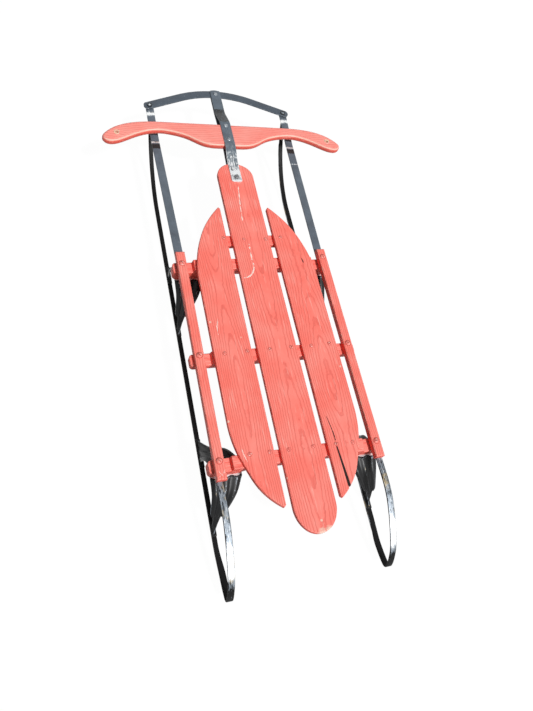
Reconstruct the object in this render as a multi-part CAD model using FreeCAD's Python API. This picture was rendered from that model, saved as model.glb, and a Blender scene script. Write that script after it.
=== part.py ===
import FreeCAD, Part
import math
import os
from FreeCAD import Vector as V

os.makedirs("parts", exist_ok=True)

# Steerable steel-runner snow sled.  Millimetres, X right, Y in travel direction, Z up.
# Stations along Y are measured from the front edge of the middle bench and
# moved to the middle of the length when a piece is written out.

# heights
deck_top = 134.0
board_t = 9.0
web_h = 10.0
flange_t = 3.0
board_under = deck_top - board_t
flange_top = web_h + flange_t

# deck boards
center_w = 85.0
center_front = 470.0
center_rear = -378.0
center_nose_l = 37.0
center_tail_l = 52.0
board_gap = 12.0
side_w = 78.5
side_front = 345.0
side_rear = -322.0
side_shoulder_front = 150.0
side_shoulder_rear = -155.0
side_tip_w = 4.0
board_round = 1.8
side_in = center_w / 2 + board_gap
deck_half = side_in + side_w

# outer edge of a side board: (share of the width given up, share of the curved length)
side_nose = [(0, 0), (0.013, 0.185), (0.087, 0.354), (0.228, 0.538), (0.423, 0.708), (0.685, 0.862), (1, 1)]
side_tail = [(0, 0), (0.034, 0.18), (0.121, 0.359), (0.268, 0.545), (0.456, 0.737), (0.732, 0.898), (1, 1)]

# split in the right board, from the screw at the rear bench to the curved edge
crack_in = 18.0
crack_behind_bench = 5.0
crack_l = 88.0
crack_drift = 5.0
crack_open = 5.0
crack_run_out = 1.25

# side rails, a gap outside the deck
rail_w = 19.5
rail_t = 13.4
rail_gap = 18.5
rail_drop = 3.0
rail_past_bench = 17.0
rail_round = 2.5
rail_x = deck_half + rail_gap + rail_w / 2
rail_top = deck_top - rail_drop
rail_under = rail_top - rail_t

# cross benches (front edge stations) and the short front cleat
bench_w = 26.0
bench_front_y = 214.8
bench_mid_y = 0.0
bench_rear_y = -213.0
bench_past_rail = 8.0
bench_step_out = 3.0
bench_slope = 1.0
bench_mid_under = 103.0
bench_haunch = 14.0
bench_end_t = 24.0
mid_bench_end_t = 16.0
mid_bench_haunch_in = 8.0
bench_end_round = 7.0
bench_round = 1.5
cleat_past_bench = 33.2
cleat_w = 26.5
cleat_lap = 27.5
cleat_t = 11.0
bench_half = rail_x + rail_w / 2 + bench_past_rail
bench_step_x = deck_half + bench_step_out
rail_front = bench_front_y + rail_past_bench
rail_rear = bench_rear_y - bench_w - rail_past_bench

# steel straps and the place where runners and straps flex
strap_t = 3.0
strap_w = 18.5
front_strap_lap = 36.0
flex_past_bench = 85.2
knuckle_gap = 0.4
nose_hinge_y = bench_front_y + flex_past_bench

# runners
runner_in = 12.0
flange_w = 10.0
web_t = 4.0
nose_rise_l = 206.0
nose_bend_r = 15.0
web_end_share = 0.83
knuckle_r = 5.0
tee_past_rail = 116.0
web_tail_l = 38.0
loop_w = 13.0
loop_in = 3.0
loop_l = 198.0
loop_lap = 34.0
runner_x = bench_half - runner_in
tee_rear = rail_rear - tee_past_rail
loop_x = runner_x - loop_in
loop_rear = rail_rear - loop_l

# rear loop: (share of its length behind the rail, share of its height above the flange)
loop_shape = [(0.146, 1.011), (0.283, 1.009), (0.399, 0.976), (0.505, 0.915), (0.616, 0.832),
              (0.758, 0.697), (0.864, 0.567), (0.944, 0.404), (0.987, 0.279), (1, 0.195),
              (0.98, 0.125), (0.919, 0.079), (0.828, 0.042), (0.717, 0.012)]

# knees: pressed steel with flutes that run together at the runner
plate_t = 1.8
knee_past = 5.0
knee_w = 62.0
flute_n = 3
flute_top = 4.5
foot_w = 11.0
foot_lead = 14.0
foot_past = 4.0
fore_foot_front = (24.0, 52.0)
fore_foot_rear = (24.0, 70.0)
aft_foot = (80.0, 93.0)
weld = 0.3
knee_out = bench_half - knee_past
knee_in = knee_out - knee_w

# rows of a leg, as shares: drop, then how far its outer and inner edges have come in to the runner,
# then their reach towards the two ends of the foot, then the depth of the flutes
fore_rows = [(0, 0, 0, 0, 0, 1), (0.2, 0, 0.29, 0.38, 0.38, 1), (0.5, 0.2, 0.73, 0.67, 0.59, 0.67),
             (1, 1, 1, 1, 1, 0.13)]
aft_rows = [(0, 0, 0, 0, 0, 1), (0.2, 0.2, 0.25, 0.38, 0.35, 1), (0.54, -0.1, 0.62, 0.73, 0.63, 0.8),
            (0.62, 0.5, 0.78, 0.79, 0.69, 0.45), (1, 1, 1, 1, 1, 0.13)]

# steering gear, stations measured from the pivot
pivot_in = 42.8
steer_strap_w = 25.0
steer_strap_t = 2.5
steer_strap_round = 5.0
steer_gap = 0.4
strap_rise = 38.0
strap_fall = 46.0
pivot_washer_r = 8.0
pivot_washer_t = 2.5
nut_w = 10.0
nut_t = 4.0
bolt_end = 2.0
pivot_y = center_front - pivot_in

# steering bar: a straight front edge, two waists, a middle lobe and drooped horns
handle_t = 16.0
handle_top = 144.7
handle_half = 288.5
handle_front = 153.0
handle_lobe = 65.0
handle_horn = 64.5
handle_waist = 27.0
handle_round = 6.0
eyelet_in = 32.5
eyelet_back = 39.8
eyelet_bore = 3.5
eyelet_out = 5.5
eyelet_flange = 1.2
eyelet_proud = 0.8
rivets_back = (50.5, 8.0)
bar_behind = 2.0
bar_before = 4.0
handle_under = handle_top - handle_t

# bumper: an arc in the middle with straight arms, its ends pinned over the runner tips
bumper_w = 21.0
bumper_t = 3.0
bumper_apex = 266.5
bumper_arc_r = 243.0
bumper_arc_turn = 21.74
bumper_past_pin = 14.0
bumper_under = 125.0
bumper_rivet_in = 2.5
pin_out = 1.0
pin_r = 3.0
pin_clear = 2.2
pin_head_r = 6.5
rivet_head_r = 6.0
rivet_head_t = 2.0
bumper_top = bumper_under + bumper_t
bumper_front = pivot_y + bumper_apex + bumper_w / 2
bumper_rivet = bumper_apex - bumper_rivet_in

# the pin's place on the straight arm's centreline
turn = math.radians(bumper_arc_turn)
arm_x = bumper_arc_r * math.sin(turn)
arm_y = pivot_y + bumper_apex - bumper_arc_r * (1 - math.cos(turn))
pin_x = runner_x + pin_out
pin_y = arm_y - (pin_x - arm_x) * math.tan(turn)

# front strap: level from the rail to the bend, then up to the bumper
strap_bend_l = 85.0
strap_bend_drop = 4.6
tip_flat = 9.3
tip_past_pin = 7.0
strap_tip_z = bumper_under - steer_gap - strap_t
nose_flat_y = pin_y - tip_flat
runner_rise_y = nose_flat_y - nose_rise_l
strap_bend_y = nose_flat_y - strap_bend_l

# middle of the whole length, and a length for cutting tools that pass through everything
mid_y = (bumper_front + loop_rear) / 2
beyond = 2 * (bumper_front - loop_rear)


def box(x0, x1, y0, y1, z0, z1):
    return Part.makeBox(x1 - x0, y1 - y0, z1 - z0, V(x0, y0, z0))


def cyl(x, y, z0, z1, r):
    return Part.makeCylinder(r, z1 - z0, V(x, y, z0))


def hole(x, y, r):
    """Cutting tool for a hole that runs up through everything."""
    return cyl(x, y, -beyond, beyond, r)


def line(a, b):
    return Part.makeLine(V(*a), V(*b))


def arc(x, cy, cz, r, a0, a1):
    """Arc in the YZ plane about (cy, cz), from angle a0 to a1 above the Y axis."""
    at = [V(x, cy + r * math.cos(a), cz + r * math.sin(a)) for a in (a0, (a0 + a1) / 2, a1)]
    return Part.Arc(*at).toShape()


def join(a, b):
    """Line from where curve a ends to where curve b ends."""
    return Part.makeLine(a.Vertexes[-1].Point, b.Vertexes[-1].Point)


def spline(pts, closed=False):
    c = Part.BSplineCurve()
    c.interpolate([V(*p) for p in pts], PeriodicFlag=closed)
    return c.toShape()


def prism(edges, vec):
    wires = Part.Wire(Part.__sortEdges__(edges))
    return Part.Face(wires).extrude(V(*vec))


def polygon(pts, vec):
    return Part.Face(Part.makePolygon([V(*p) for p in pts] + [V(*pts[0])])).extrude(V(*vec))


def round_rim(s, r, z):
    rim = [e for e in s.Edges if all(abs(v.Z - z) < 1e-4 for v in e.Vertexes)
           and abs(e.CenterOfMass.z - z) < 1e-3]
    return s.makeFillet(r, rim)


def upright(e):
    return abs(e.Vertexes[0].Z - e.Vertexes[-1].Z) > 1


def mirror(s):
    return s.mirror(V(0, 0, 0), V(1, 0, 0))


def save(name, s):
    s = s.copy()
    s.translate(V(0, -mid_y, 0))
    if s.ShapeType == "Compound" and len(s.Solids) == 1:
        s = s.Solids[0]
    s.exportStep("parts/" + name + ".step")


def both(name, s):
    """Write a right-hand piece and its mirror image."""
    save(name + "_right", s)
    save(name + "_left", mirror(s))


def strip(pts, t, x0, x1):
    """Bar bent in the YZ plane: pts run along one side, the other lies t to the right of them."""
    n = len(pts)
    off = []
    for i, (y, z) in enumerate(pts):
        ya, za = pts[max(i - 1, 0)]
        yb, zb = pts[min(i + 1, n - 1)]
        d = math.hypot(yb - ya, zb - za)
        off.append((x0, y + (zb - za) / d * t, z - (yb - ya) / d * t))
    on = [(x0, y, z) for y, z in pts]
    edges = [spline(on), line(on[-1], off[-1]), spline(off), line(off[0], on[0])]
    return prism(edges, (x1 - x0, 0, 0))


def plank(path, t, x0, x1):
    """Flat bar with creases: path (y, z) is its lower side."""
    pts = [(x0, y, z) for y, z in path] + [(x0, y, z + t) for y, z in reversed(path)]
    return polygon(pts, (x1 - x0, 0, 0))


# deck boards
def round_end(half, y, reach, z):
    """Half oval of a board's end, from its right edge to its left edge."""
    pts = []
    for i in range(13):
        a = math.pi * i / 12
        pts.append((half * math.cos(a), y + reach * math.sin(a), z))
    return spline(pts)


def center_board():
    h = center_w / 2
    f = center_front - center_nose_l
    r = center_rear + center_tail_l
    z = board_under
    edges = [line((-h, r, z), (-h, f, z)), round_end(h, f, center_nose_l, z),
             line((h, f, z), (h, r, z)), round_end(h, r, -center_tail_l, z)]
    s = prism(edges, (0, 0, board_t))
    s = round_rim(s, board_round, deck_top)
    return s.cut(hole(0, pivot_y, pin_r))


def side_board():
    x0 = side_in
    x1 = deck_half
    z = board_under
    curved = side_w - side_tip_w
    nose_l = side_front - side_shoulder_front
    tail_l = side_shoulder_rear - side_rear
    front = [(x1 - curved * a, side_shoulder_front + nose_l * b, z) for a, b in side_nose]
    rear = [(x1 - curved * a, side_shoulder_rear - tail_l * b, z) for a, b in reversed(side_tail)]
    tip = (x0, side_front - side_tip_w, z)
    heel = (x0, side_rear + side_tip_w, z)
    edges = [spline(front), line(front[-1], tip), line(tip, heel), line(heel, rear[0]),
             spline(rear), line(rear[-1], front[0])]
    s = prism(edges, (0, 0, board_t))
    return round_rim(s, board_round, deck_top)


def crack():
    """Wedge that opens from the screw towards the board's curved edge and runs out through it."""
    a = V(side_in + crack_in, bench_rear_y - crack_behind_bench, board_under)
    run = V(crack_drift, -crack_l, 0)
    wide = V(crack_l, -crack_drift, 0).normalize() * crack_open / 2
    far = a + run * crack_run_out
    pts = [tuple(p) for p in (a, far + wide, far - wide)]
    return polygon(pts, (0, 0, board_t))


save("deck_board_center", center_board())
save("deck_board_left", mirror(side_board()))
save("deck_board_right", side_board().cut(crack()))


# benches
def bench(y_front, end_t, end_top, x_in):
    """Cross bench: raised under the boards, stepped down to its ends, haunched at x_in."""
    e = bench_half
    s = bench_step_x
    zb = end_top - end_t
    half = [(s - bench_slope, board_under), (s + bench_slope, end_top), (e, end_top), (e, zb),
            (x_in, zb), (x_in - bench_haunch, bench_mid_under)]
    y0 = y_front - bench_w
    pts = [(x, y0, z) for x, z in half] + [(-x, y0, z) for x, z in reversed(half)]
    b = polygon(pts, (0, bench_w, 0))
    ends = [k for k in b.Edges if abs(abs(k.CenterOfMass.x) - e) < 0.01 and upright(k)]
    return round_faces(b.makeFillet(bench_end_round, ends), bench_round, y0, y_front)


def round_faces(s, r, y0, y1):
    """Ease the edges round a bar's rear face at y0 and its front face at y1."""
    rims = [k for k in s.Edges if min(abs(k.CenterOfMass.y - y) for y in (y0, y1)) < 0.01]
    return s.makeFillet(r, rims)


front_end_top = rail_under - strap_t
rear_end_top = rail_under - flange_t
save("bench_front", bench(bench_front_y, bench_end_t, front_end_top, knee_in + 2 * flute_top))
save("bench_middle", bench(bench_mid_y, mid_bench_end_t, rail_under,
                           bench_step_x - mid_bench_haunch_in))
save("bench_rear", bench(bench_rear_y, bench_end_t, rear_end_top, knee_in + 2 * flute_top))
cleat_half = side_in + cleat_lap
cleat_y = bench_front_y + cleat_past_bench
cleat = box(-cleat_half, cleat_half, cleat_y, cleat_y + cleat_w, board_under - cleat_t, board_under)
save("deck_cleat_front", round_faces(cleat, bench_round, cleat_y, cleat_y + cleat_w))


# side rails
def rail():
    s = box(rail_x - rail_w / 2, rail_x + rail_w / 2, rail_rear, rail_front, rail_under, rail_top)
    return round_rim(s, rail_round, rail_top)


both("side_rail", rail())


# knees
def wave(u, amp):
    """Depth of the flutes at share u of a plate's width."""
    return amp * (1 - math.cos(2 * math.pi * flute_n * u)) / 2


def leg_row(rows, i, y_edge, foot, z_top, out, outer):
    """Wavy line across a leg at row i; out is +1 for the fore leg, -1 for the aft."""
    drop, a_in, b_in, a_reach, b_reach, depth = rows[i]
    z = z_top - (z_top - flange_top - weld) * drop
    a = (knee_out + (runner_x - knee_out) * a_in, y_edge + out * foot[0] * a_reach)
    b = (knee_in + (runner_x - knee_in) * b_in, y_edge + out * foot[1] * b_reach)
    across = math.hypot(b[0] - a[0], b[1] - a[1])
    nx = out * (b[1] - a[1]) / across
    ny = out * (a[0] - b[0]) / across
    k = level_t(rows, i, foot, z_top) if outer else 0
    pts = []
    for j in range(8 * flute_n + 1):
        u = j / (8 * flute_n)
        d = wave(u, flute_top * depth) + k
        pts.append((a[0] + (b[0] - a[0]) * u + nx * d, a[1] + (b[1] - a[1]) * u + ny * d, z))
    return spline(pts)


def level_t(rows, i, foot, z_top):
    """Thickness of the plate measured level, from the leg's slope about row i."""
    upper = rows[max(i - 1, 0)]
    lower = rows[min(i + 1, len(rows) - 1)]
    fall = (z_top - flange_top) * (lower[0] - upper[0])
    reach = foot[0] * (lower[3] - upper[3])
    return plate_t * math.hypot(reach, fall) / fall


def leg(rows, y_edge, foot, z_top, out):
    """Fluted plate from the bench down to the runner, lofted through its rows."""
    wires = []
    for i in range(len(rows)):
        a = leg_row(rows, i, y_edge, foot, z_top, out, False)
        b = leg_row(rows, i, y_edge, foot, z_top, out, True)
        ends = [line(a.Vertexes[n].Point, b.Vertexes[n].Point) for n in (0, -1)]
        wires.append(Part.Wire(Part.__sortEdges__([a, ends[1], b, ends[0]])))
    return Part.makeLoft(wires, True, True)


def saddle(y_front, z):
    """Plate under the bench's end, with the flutes' wavy edges fore and aft."""
    n = 8 * flute_n
    fore = []
    aft = []
    for i in range(n + 1):
        u = i / n
        x = knee_out - (knee_out - knee_in) * u
        out = wave(u, flute_top) + plate_t
        fore.append((x, y_front + out, z))
        aft.append((x, y_front - bench_w - out, z))
    edges = [spline(fore), line(fore[-1], aft[-1]), spline(aft), line(aft[0], fore[0])]
    return prism(edges, (0, 0, plate_t))


def knee(y_front, top, fore_foot):
    x0 = runner_x - foot_w / 2
    x1 = runner_x + foot_w / 2
    y_rear = y_front - bench_w
    feet = [box(x0, x1, y_front + fore_foot[0] - foot_lead, y_front + fore_foot[1] + foot_past,
                flange_top, flange_top + plate_t),
            box(x0, x1, y_rear - aft_foot[1] - foot_past, y_rear - aft_foot[0] + foot_lead,
                flange_top, flange_top + plate_t)]
    legs = [leg(fore_rows, y_front, fore_foot, top - weld, 1),
            leg(aft_rows, y_rear, aft_foot, top - weld, -1)]
    return saddle(y_front, top - plate_t).fuse(legs + feet).removeSplitter()


both("knee_front", knee(bench_front_y, front_end_top - bench_end_t, fore_foot_front))
both("knee_rear", knee(bench_rear_y, rear_end_top - bench_end_t, fore_foot_rear))


# runners
def tee(y0, y1):
    f = box(runner_x - flange_w / 2, runner_x + flange_w / 2, y0, y1, web_h, flange_top)
    w = box(runner_x - web_t / 2, runner_x + web_t / 2, y0, y1, 0, web_h + weld)
    return f.fuse(w)


def rear_loop():
    """The flange runs on as a loop, up and forward to the rail's rear end."""
    height = rail_under - web_h
    x0 = loop_x - loop_w / 2
    x1 = loop_x + loop_w / 2
    pts = [(tee_rear, web_h)]
    pts += [(rail_rear - loop_l * a, web_h + height * b) for a, b in reversed(loop_shape)]
    pts += [(rail_rear, rail_under), (rail_rear + flange_t, rail_under)]
    lap = box(x0, x1, rail_rear + flange_t, rail_rear + loop_lap, rail_under - flange_t, rail_under)
    return strip(pts, flange_t, x0, x1).fuse(lap)


def web_tail():
    """The web's rounded end, which rises to the flange behind the T bar."""
    y = tee_rear + weld
    heel = [(0, 0), (0.38, 0.1), (0.76, 0.55), (1, 1.2)]
    pts = [(y - web_tail_l * a, web_h * b) for a, b in heel] + [(y, web_h)]
    return polygon([(runner_x - web_t / 2, a, b) for a, b in pts], (web_t, 0, 0))


def runner():
    knuckle = cyl(runner_x, nose_hinge_y, 0, flange_top, knuckle_r)
    return rear_loop().fuse([tee(tee_rear, nose_hinge_y), web_tail(), knuckle]).removeSplitter()


def nose_runner():
    """Front of the runner: straight on the snow, then up in one sweep to the bumper's end."""
    dy = nose_flat_y - runner_rise_y
    dz = strap_tip_z - flange_top
    both_r = (dy * dy + dz * dz) / (2 * dz)
    sweep = math.asin(dy / both_r)
    r = both_r - nose_bend_r
    x0 = runner_x - flange_w / 2
    down = -math.pi / 2
    up = math.pi / 2
    cz = flange_top + r
    tip_z = strap_tip_z - nose_bend_r
    inner = [arc(x0, runner_rise_y, cz, r, down, down + sweep),
             arc(x0, nose_flat_y, tip_z, nose_bend_r, up + sweep, up)]
    outer = [arc(x0, runner_rise_y, cz, r + flange_t, down + sweep, down),
             arc(x0, nose_flat_y, tip_z, nose_bend_r - flange_t, up, up + sweep)]
    ends = [line((x0, runner_rise_y, flange_top), (x0, runner_rise_y, web_h)),
            line((x0, nose_flat_y, strap_tip_z), (x0, nose_flat_y, strap_tip_z - flange_t))]
    flange = prism(inner + outer + ends, (flange_w, 0, 0))
    tip = box(x0, x0 + flange_w, nose_flat_y, pin_y + tip_past_pin, strap_tip_z - flange_t, strap_tip_z)
    s = tee(nose_hinge_y, runner_rise_y).fuse([flange, tip, nose_web(cz, r, sweep * web_end_share)])
    s = s.cut(hole(runner_x, nose_hinge_y, knuckle_r + knuckle_gap))
    return s.cut(hole(pin_x, pin_y, pin_r)).removeSplitter()


def nose_web(cz, r, sweep):
    """The web follows the flange up the sweep and stops short of the bumper."""
    x0 = runner_x - web_t / 2
    down = -math.pi / 2
    a = arc(x0, runner_rise_y, cz, r + flange_t - weld, down, down + sweep)
    b = arc(x0, runner_rise_y, cz, r + flange_top, down, down + sweep)
    start = line((x0, runner_rise_y, web_h + weld), (x0, runner_rise_y, 0))
    return prism([a, b, join(a, b), start], (web_t, 0, 0))


both("runner", runner())
both("nose_runner", nose_runner())


# front straps
def strap_section(x, y, z):
    w = strap_w / 2
    return Part.makePolygon([V(x - w, y, z), V(x + w, y, z), V(x + w, y, z + strap_t),
                             V(x - w, y, z + strap_t), V(x - w, y, z)])


def front_strap():
    """Flat strap from under the rail's front end to the bumper's end."""
    rail_z = rail_under - strap_t
    at = [(rail_x, rail_front - front_strap_lap, rail_z), (rail_x, rail_front, rail_z),
          (runner_x, strap_bend_y, rail_under - strap_bend_drop), (pin_x, nose_flat_y, strap_tip_z),
          (pin_x, pin_y + tip_past_pin, strap_tip_z)]
    parts = [Part.makeLoft([strap_section(*a), strap_section(*b)], True, True)
             for a, b in zip(at[:-1], at[1:])]
    return parts[0].fuse(parts[1:])


knuckle = strap_w / 2 + runner_x - rail_x
whole = front_strap()
rear_half = box(0, beyond, -beyond, nose_hinge_y, 0, beyond).fuse(hole(runner_x, nose_hinge_y, knuckle))
front_half = box(0, beyond, nose_hinge_y, beyond, 0, beyond)
front_half = front_half.cut(hole(runner_x, nose_hinge_y, knuckle + knuckle_gap))
both("strap_tail", whole.common(rear_half))
both("nose_strap", whole.common(front_half).cut(hole(pin_x, pin_y, pin_r)))


# steering gear
def handlebar():
    h = handle_half
    lobe = handle_lobe
    waist = handle_waist
    horn = handle_horn
    swell = lobe - waist
    edge = [(0.243, 0), (0.485, 0), (0.711, 0.054 * horn), (0.88, 0.28 * horn), (0.972, 0.58 * horn),
            (1, 0.8 * horn), (0.976, 0.96 * horn), (0.922, horn), (0.849, 0.89 * horn),
            (0.763, 0.69 * horn), (0.659, 0.5 * horn), (0.555, waist), (0.444, waist + 0.1 * swell),
            (0.329, waist + 0.39 * swell), (0.215, waist + 0.87 * swell), (0.139, lobe)]
    right = [(h * a, b) for a, b in edge]
    left = [(-x, b) for x, b in reversed(right)]
    f = pivot_y + handle_front
    z = handle_under
    rim = spline([(x, f - b, z) for x, b in [(0, 0)] + right + [(0, lobe)] + left], closed=True)
    s = prism([rim], (0, 0, handle_t))
    s = round_rim(s, handle_round, handle_top)
    s = round_rim(s, handle_round, z)
    for x in (eyelet_in - h, h - eyelet_in):
        s = s.cut(hole(x, f - eyelet_back, eyelet_out))
    for b in rivets_back:
        s = s.cut(hole(0, f - b, pin_r))
    return s


def steering_strap(rear_z, bar_z, front_z):
    """Flat bar over or under the board, the steering bar and the bumper, with two ramps."""
    on_bar = handle_front - handle_lobe - bar_behind
    off_bar = handle_front + bar_before
    w = steer_strap_w / 2
    path = [(-w, rear_z), (on_bar - strap_rise, rear_z), (on_bar, bar_z), (off_bar, bar_z),
            (off_bar + strap_fall, front_z), (bumper_apex + bumper_w / 2, front_z)]
    s = plank([(pivot_y + a, z) for a, z in path], steer_strap_t, -w, w)
    corners = [k for k in s.Edges if upright(k) and k.CenterOfMass.y < pivot_y]
    s = s.makeFillet(steer_strap_round, corners)
    s = s.cut(hole(0, pivot_y, pin_r + steer_gap))
    for y in [handle_front - b for b in rivets_back] + [bumper_rivet]:
        s = s.cut(hole(0, pivot_y + y, pin_r))
    return s


over = deck_top + steer_gap
under = board_under - steer_gap - steer_strap_t
save("handlebar", handlebar())
save("steering_strap_upper", steering_strap(over, handle_top, bumper_top + steer_gap))
save("steering_strap_lower", steering_strap(under, handle_under - steer_strap_t,
                                            bumper_under - steer_gap - steer_strap_t))


def rivet(x, y, z0, z1, head_r):
    """Shank with a low head below z0 and one above z1."""
    low = cyl(x, y, z0 - rivet_head_t, z0, head_r)
    high = cyl(x, y, z1, z1 + rivet_head_t, head_r)
    return cyl(x, y, z0 - rivet_head_t, z1 + rivet_head_t, pin_r).fuse([low, high])


bar_y = pivot_y + handle_front
rivets = [rivet(0, bar_y - b, handle_under - steer_strap_t, handle_top + steer_strap_t, rivet_head_r)
          for b in rivets_back]
rivets.append(rivet(0, pivot_y + bumper_rivet, bumper_under - steer_gap - steer_strap_t,
                    bumper_top + steer_gap + steer_strap_t, rivet_head_r))
save("steering_rivets", Part.makeCompound(rivets))


def eyelet(x):
    """Tube through the steering bar with a thin flange on each face."""
    y = bar_y - eyelet_back
    z0 = handle_under - eyelet_proud
    z1 = handle_top + eyelet_proud
    r = eyelet_out + eyelet_flange
    s = cyl(x, y, z0, z1, eyelet_out)
    s = s.fuse([cyl(x, y, handle_top, z1, r), cyl(x, y, z0, handle_under, r)])
    return s.cut(hole(x, y, eyelet_bore))


save("rope_eyelets", Part.makeCompound([eyelet(eyelet_in - handle_half), eyelet(handle_half - eyelet_in)]))


def pivot_bolt():
    """Round head below the lower strap, square nut on the upper one."""
    low = under - steer_gap
    high = over + steer_strap_t + steer_gap
    half = nut_w / 2
    shank = cyl(0, pivot_y, low - pivot_washer_t, high + nut_t + bolt_end, pin_r)
    head = cyl(0, pivot_y, low - pivot_washer_t, low, pivot_washer_r)
    nut = box(-half, half, pivot_y - half, pivot_y + half, high, high + nut_t)
    return shank.fuse([head, nut])


save("pivot_bolt", pivot_bolt())


# bumper
def bumper():
    z = bumper_under
    arm_l = (pin_x - arm_x) / math.cos(turn) + bumper_past_pin
    along = V(math.cos(turn), -math.sin(turn), 0)
    across = V(math.sin(turn), math.cos(turn), 0) * bumper_w / 2
    root = V(arm_x, arm_y, z)
    tip = root + along * arm_l
    apex = V(0, pivot_y + bumper_apex, z)
    half_w = V(0, bumper_w / 2, 0)
    left = [V(-p.x, p.y, p.z) for p in (root + across, tip + across, tip - across, root - across)]
    edges = [Part.Arc(left[0], apex + half_w, root + across).toShape(),
             Part.makeLine(root + across, tip + across), Part.makeLine(tip + across, tip - across),
             Part.makeLine(tip - across, root - across),
             Part.Arc(root - across, apex - half_w, left[3]).toShape()]
    edges += [Part.makeLine(a, b) for a, b in zip(left[:-1], left[1:])]
    s = prism(edges, (0, 0, bumper_t))
    corners = [tip + across, tip - across]
    ends = [k for k in s.Edges if upright(k)
            and any(abs(abs(k.Vertexes[0].X) - c.x) + abs(k.Vertexes[0].Y - c.y) < 0.01 for c in corners)]
    s = s.makeFillet(0.43 * bumper_w, ends)
    for x in (-pin_x, pin_x):
        s = s.cut(hole(x, pin_y, pin_r + pin_clear))
    return s.cut(hole(0, pivot_y + bumper_rivet, pin_r + steer_gap))


save("bumper", bumper())
both("bumper_pin", rivet(pin_x, pin_y, strap_tip_z - flange_t, bumper_top + steer_gap, pin_head_r))
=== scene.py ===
import math

import bpy
import numpy as np
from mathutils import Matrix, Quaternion, Vector


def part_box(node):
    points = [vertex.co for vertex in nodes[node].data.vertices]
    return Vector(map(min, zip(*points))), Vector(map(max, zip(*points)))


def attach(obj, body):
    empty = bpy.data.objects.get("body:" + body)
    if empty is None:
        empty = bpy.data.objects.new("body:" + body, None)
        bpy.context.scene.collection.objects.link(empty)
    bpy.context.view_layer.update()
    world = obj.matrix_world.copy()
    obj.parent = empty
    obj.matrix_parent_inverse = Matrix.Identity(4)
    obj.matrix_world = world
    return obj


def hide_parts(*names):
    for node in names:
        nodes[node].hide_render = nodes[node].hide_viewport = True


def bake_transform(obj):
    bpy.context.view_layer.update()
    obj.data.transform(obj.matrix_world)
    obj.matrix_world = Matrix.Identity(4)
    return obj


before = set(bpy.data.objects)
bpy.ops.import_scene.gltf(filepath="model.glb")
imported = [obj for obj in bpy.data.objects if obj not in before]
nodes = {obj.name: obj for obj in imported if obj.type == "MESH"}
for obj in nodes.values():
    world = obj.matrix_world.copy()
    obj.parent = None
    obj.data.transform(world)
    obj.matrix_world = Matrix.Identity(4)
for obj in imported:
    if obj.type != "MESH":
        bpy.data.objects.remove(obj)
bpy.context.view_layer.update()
print("frame loaded:", len(nodes), "nodes")

# Stations along Y are millimetres from the middle bench's front edge; x and z are millimetres too.
# metres() turns (x, station, z) rows into the frame's metres.
middle = -1000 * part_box("bench_middle")[1][1]


def metres(points):
    return (np.asarray(points, float) - [0, middle, 0]) * 0.001


def boxMm(node):
    # a node's low and high corners as (x, station, z)
    low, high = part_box(node)
    return 1000 * np.array(low) + [0, middle, 0], 1000 * np.array(high) + [0, middle, 0]


# sizes read off the frame; the sled is symmetric, so the right side gives both
boardLow, boardHigh = boxMm("deck_board_center")
deckTop = boardHigh[2]
boardUnder = boardLow[2]
railLow, railHigh = boxMm("side_rail_right")
railX = (railLow[0] + railHigh[0]) / 2
runnerLow, runnerHigh = boxMm("nose_runner_right")
runnerX = (runnerLow[0] + runnerHigh[0]) / 2
pinLow, pinHigh = boxMm("bumper_pin_right")
pinX, pinY = (pinLow[:2] + pinHigh[:2]) / 2
boltLow, boltHigh = boxMm("pivot_bolt")
pivotY = (boltLow[1] + boltHigh[1]) / 2
barLow, barHigh = boxMm("handlebar")
bumperLow, bumperHigh = boxMm("bumper")
benchFront = boxMm("bench_front")
benchRear = boxMm("bench_rear")
benchDepth = benchFront[1][1] - benchFront[0][1]
sides = (("right", 1), ("left", -1))


# Mesh helpers: every new surface is a grid of points worked out as whole arrays

def xyz(x, y, z):
    # a grid of points from three grids or numbers that fit each other's shape
    return np.stack(np.broadcast_arrays(x, y, z), -1)


def tiles(rows, cols, wrapCols, wrapRows=False):
    # quads of a rows x cols grid, numbered row by row; a wrap joins the last line to the first
    i, j = np.meshgrid(np.arange(rows if wrapRows else rows - 1),
                       np.arange(cols if wrapCols else cols - 1), indexing="ij")
    k = (j + 1) % cols
    below = (i + 1) % rows * cols
    return np.stack([i * cols + j, i * cols + k, below + k, below + j], -1).reshape(-1, 4)


def outward(points, quads):
    # the solid's signed volume says whether its faces already point outwards
    a, b, c, d = (points[quads[:, n]] for n in range(4))
    volume = (a * np.cross(b, c)).sum() + (a * np.cross(c, d)).sum()
    return quads if volume > 0 else quads[:, ::-1]


def tube(grid, wear=None):
    # closed skin: rings of points, with a middle point that closes each end
    rows, cols = grid.shape[:2]
    points = np.concatenate([grid.reshape(-1, 3), [grid[0].mean(0), grid[-1].mean(0)]])
    j = np.arange(cols)
    k = (j + 1) % cols
    hub = np.full(cols, rows * cols)
    last = (rows - 1) * cols
    caps = [np.stack([k, j, hub, hub], -1), np.stack([last + j, last + k, hub + 1, hub + 1], -1)]
    quads = outward(points, np.concatenate([tiles(rows, cols, True)] + caps))
    if wear is None:
        return points, quads, np.zeros(len(points))
    return points, quads, np.append(wear.ravel(), [wear[0].mean(), wear[-1].mean()])


def ring(grid):
    # closed skin of a ring: both directions wrap
    points = grid.reshape(-1, 3)
    return points, outward(points, tiles(*grid.shape[:2], True, True)), np.zeros(len(points))


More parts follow.
